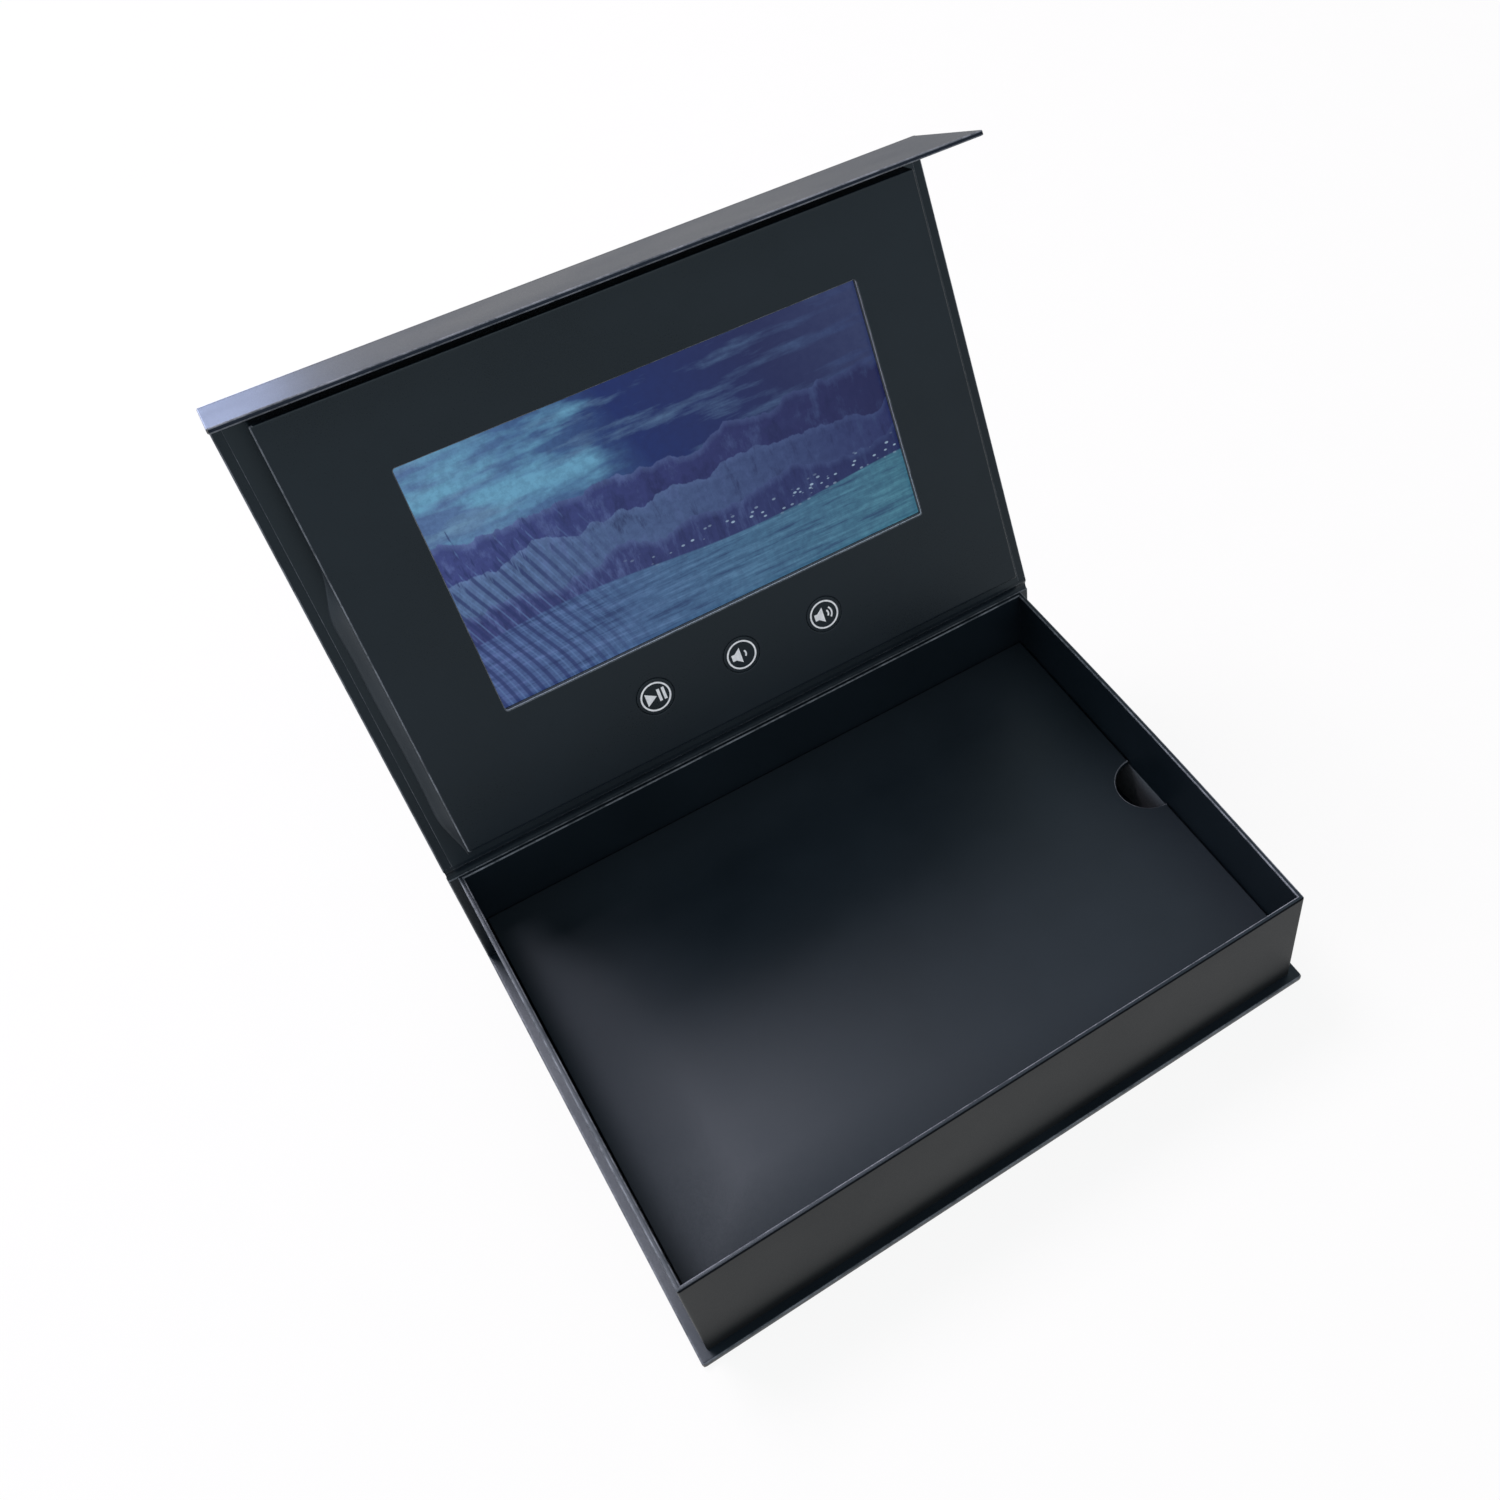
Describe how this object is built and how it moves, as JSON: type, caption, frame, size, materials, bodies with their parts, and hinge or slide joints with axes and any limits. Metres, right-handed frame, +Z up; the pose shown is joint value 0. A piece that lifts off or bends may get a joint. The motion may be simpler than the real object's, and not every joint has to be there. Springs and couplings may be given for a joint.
{
  "type": "lcd video brochure",
  "caption": "Rigid hinged gift box with a magnetic front flap, a screen panel and press buttons inside the lid, and a raised lift-out floor.",
  "frame": {"origin": "centre of the tray's footprint, on the table under the base board", "axes": "+Z up, +X to the right of someone facing the screen, -Y to the front, the lid's crease at the back along X"},
  "size_m": [0.2326, 0.2309, 0.2368],
  "materials": {
    "greyboard": "matt",
    "black_paper": "satin",
    "inner_paper": "soft matt",
    "spacer_board": "matt",
    "steel": "satin",
    "nickel": "satin",
    "screen_glass": "gloss",
    "light_guide": "satin",
    "circuit_board": "satin",
    "amber_film": "gloss",
    "black_plastic": "matt",
    "plug_plastic": "matt",
    "foam_tape": "matt",
    "foil": "satin",
    "lead_red": "gloss",
    "lead_black": "gloss",
    "white_ink": "satin"
  },
  "bodies": {
    "tray": {"base_board": "greyboard", "base_wrap": "black_paper", "base_lining": "inner_paper", "spine_board": "greyboard", "spine_wrap": "black_paper", "lid_crease": "black_paper", "tray_front_wall": "greyboard", "tray_back_wall": "greyboard", "tray_left_wall": "greyboard", "tray_right_wall": "greyboard", "tray_wrap": "inner_paper", "tray_magnets": "nickel", "sensor_magnet": "nickel"},
    "platform": {"platform_board": "greyboard", "platform_wrap": "inner_paper", "platform_long_legs": "greyboard", "platform_short_legs": "greyboard"},
    "lid": {"lid_cover_board": "greyboard", "lid_wrap": "black_paper", "lid_lining": "inner_paper", "flap_crease": "black_paper", "panel_spacer": "spacer_board", "face_board": "greyboard", "face_wrap": "black_paper", "lcd_frame": "steel", "lcd_glass": "screen_glass", "backlight": "light_guide", "lcd_ribbon": "amber_film", "main_board": "circuit_board", "board_chips": "black_plastic", "board_connectors": "plug_plastic", "board_pads": "foam_tape", "usb_socket": "steel", "reed_switch": "light_guide", "battery": "foil", "battery_circuit": "amber_film", "battery_tape": "foam_tape", "battery_leads": "lead_red", "speaker_frame": "black_plastic", "speaker_cone": "black_plastic", "speaker_magnet": "nickel", "speaker_leads": "lead_black", "button_board": "circuit_board", "tact_switches": "black_plastic", "button_ribbon": "amber_film"},
    "play_key": {"play_button": "black_paper", "play_print": "white_ink", "play_stem": "black_plastic"},
    "volume_down_key": {"volume_down_button": "black_paper", "volume_down_print": "white_ink", "volume_down_stem": "black_plastic"},
    "volume_up_key": {"volume_up_button": "black_paper", "volume_up_print": "white_ink", "volume_up_stem": "black_plastic"},
    "flap": {"flap_board": "greyboard", "flap_wrap": "black_paper", "flap_lining": "inner_paper", "flap_magnets": "nickel"}
  },
  "joints": [
    {"name": "lid_hinge", "type": "hinge", "parent": "tray", "child": "lid", "pos_m": [0, 0.08455, 0.0534], "axis": [-1, 0, 0], "range_deg": [-110.5, 69.5]},
    {"name": "flap_hinge", "type": "hinge", "parent": "lid", "child": "flap", "pos_m": [0, 0.144, 0.2124], "axis": [-1, 0, 0], "range_deg": [-8, 82]},
    {"name": "platform_lift", "type": "slide", "parent": "tray", "child": "platform", "axis": [0, 0, 1], "range_m": [0, 0.04]},
    {"name": "play_press", "type": "slide", "parent": "lid", "child": "play_key", "axis": [0, 0.9367, -0.3502], "range_m": [0, 0.0004], "stiffness_N_per_m": 3000, "springref_m": -0.0002},
    {"name": "volume_down_press", "type": "slide", "parent": "lid", "child": "volume_down_key", "axis": [0, 0.9367, -0.3502], "range_m": [0, 0.0004], "stiffness_N_per_m": 3000, "springref_m": -0.0002},
    {"name": "volume_up_press", "type": "slide", "parent": "lid", "child": "volume_up_key", "axis": [0, 0.9367, -0.3502], "range_m": [0, 0.0004], "stiffness_N_per_m": 3000, "springref_m": -0.0002}
  ]
}
